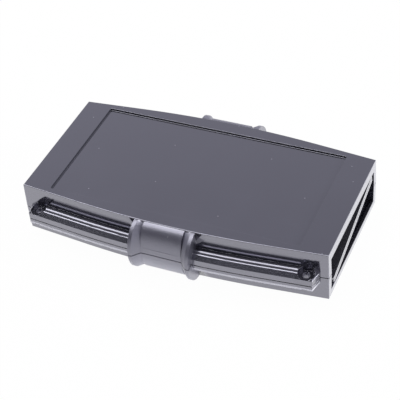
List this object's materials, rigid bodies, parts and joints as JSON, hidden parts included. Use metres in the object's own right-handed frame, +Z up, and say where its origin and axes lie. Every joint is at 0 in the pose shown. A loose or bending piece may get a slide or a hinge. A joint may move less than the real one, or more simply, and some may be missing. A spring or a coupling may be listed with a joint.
{
  "type": "electronics enclosure",
  "caption": "Moulded plastic clamshell enclosure with open ends, a recessed label area, side flanges with screw lugs and loose blank end panels stowed in one mouth.",
  "frame": {"origin": "bottom centre of the closed housing, on the surface it stands on", "axes": "+X along the housing towards the mouth that holds the stowed end panels, +Z up through the label recess, +Y across to the back long side"},
  "size_m": [0.1002, 0.0654, 0.0176],
  "materials": {
    "black_abs": "glossy moulded ABS"
  },
  "bodies": {
    "root": {"upper_shell": "black_abs", "lower_shell": "black_abs", "end_panel_a": "black_abs", "end_panel_b": "black_abs"}
  },
  "joints": []
}
